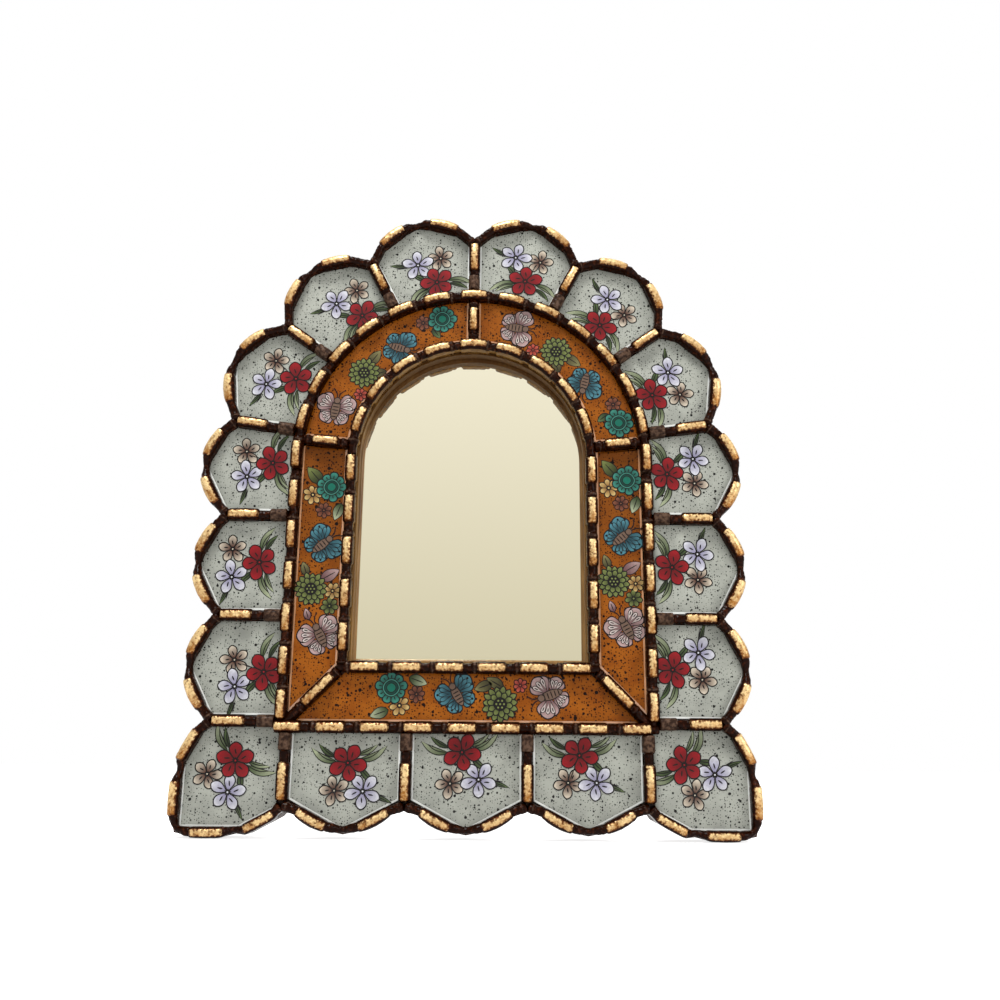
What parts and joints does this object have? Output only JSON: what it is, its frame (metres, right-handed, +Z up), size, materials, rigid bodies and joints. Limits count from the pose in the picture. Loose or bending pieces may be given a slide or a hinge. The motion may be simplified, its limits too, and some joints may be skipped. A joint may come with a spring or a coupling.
{
  "type": "reverse painted glass mirror",
  "caption": "Arched wall mirror in a scalloped wooden frame laid with floral reverse painted glass panes between gilt ridges, with a ring hanger.",
  "frame": {"origin": "the hanging point: the inside top of the hanger ring, in the plane of the back face", "axes": "+X to the right seen from the front, +Y backward into the wall (the mirror faces -Y), +Z up"},
  "size_m": [0.2408, 0.0225, 0.2774],
  "materials": {
    "frame_wood": "dark stained satin wood",
    "liner_wood": "dark golden-brown lacquered wood",
    "mirror_glass": "silvered glass",
    "backing_wood": "plain thin board, matte",
    "celadon_glass": "glossy glass, painted on its back in speckled grey-green with flower sprays",
    "amber_glass": "glossy glass, painted on its back in speckled orange-brown with small flowers and butterflies",
    "gilt_ridge": "hammered gilt bars over glossy dark red-brown bole",
    "steel": "plain zinc-plated steel"
  },
  "bodies": {
    "frame": {"base_board": "frame_wood", "opening_liner": "liner_wood", "mirror_pane": "mirror_glass", "backing_board": "backing_wood", "backing_pins": "steel", "hanger_strap": "steel", "hanger_screws": "steel", "petal_glass_1": "celadon_glass", "petal_glass_2": "celadon_glass", "petal_glass_3": "celadon_glass", "petal_glass_4": "celadon_glass", "petal_glass_5": "celadon_glass", "petal_glass_6": "celadon_glass", "petal_glass_7": "celadon_glass", "petal_glass_8": "celadon_glass", "petal_glass_9": "celadon_glass", "petal_glass_10": "celadon_glass", "petal_glass_11": "celadon_glass", "petal_glass_12": "celadon_glass", "petal_glass_13": "celadon_glass", "petal_glass_14": "celadon_glass", "petal_glass_15": "celadon_glass", "petal_glass_16": "celadon_glass", "petal_glass_17": "celadon_glass", "outer_ridge_1": "gilt_ridge", "outer_ridge_2": "gilt_ridge", "outer_ridge_3": "gilt_ridge", "outer_ridge_4": "gilt_ridge", "outer_ridge_5": "gilt_ridge", "outer_ridge_6": "gilt_ridge", "outer_ridge_7": "gilt_ridge", "outer_ridge_8": "gilt_ridge", "outer_ridge_9": "gilt_ridge", "outer_ridge_10": "gilt_ridge", "outer_ridge_11": "gilt_ridge", "outer_ridge_12": "gilt_ridge", "outer_ridge_13": "gilt_ridge", "outer_ridge_14": "gilt_ridge", "outer_ridge_15": "gilt_ridge", "outer_ridge_16": "gilt_ridge", "outer_ridge_17": "gilt_ridge", "middle_ridge_arch": "gilt_ridge", "middle_ridge_left": "gilt_ridge", "middle_ridge_right": "gilt_ridge", "middle_ridge_bottom": "gilt_ridge", "inner_ridge_arch": "gilt_ridge", "inner_ridge_left": "gilt_ridge", "inner_ridge_right": "gilt_ridge", "inner_ridge_bottom": "gilt_ridge", "arch_dividers": "gilt_ridge", "side_dividers": "gilt_ridge", "bottom_dividers": "gilt_ridge", "band_dividers": "gilt_ridge", "band_glass_arch_left": "amber_glass", "band_glass_arch_right": "amber_glass", "band_glass_side_left": "amber_glass", "band_glass_side_right": "amber_glass", "band_glass_bottom": "amber_glass"},
    "ring": {"hanger_ring": "steel"}
  },
  "joints": [
    {"name": "ring_hinge", "type": "hinge", "parent": "frame", "child": "ring", "pos_m": [0, -0.0025, -0.0109], "axis": [-1, 0, 0], "range_deg": [0, 165]}
  ]
}
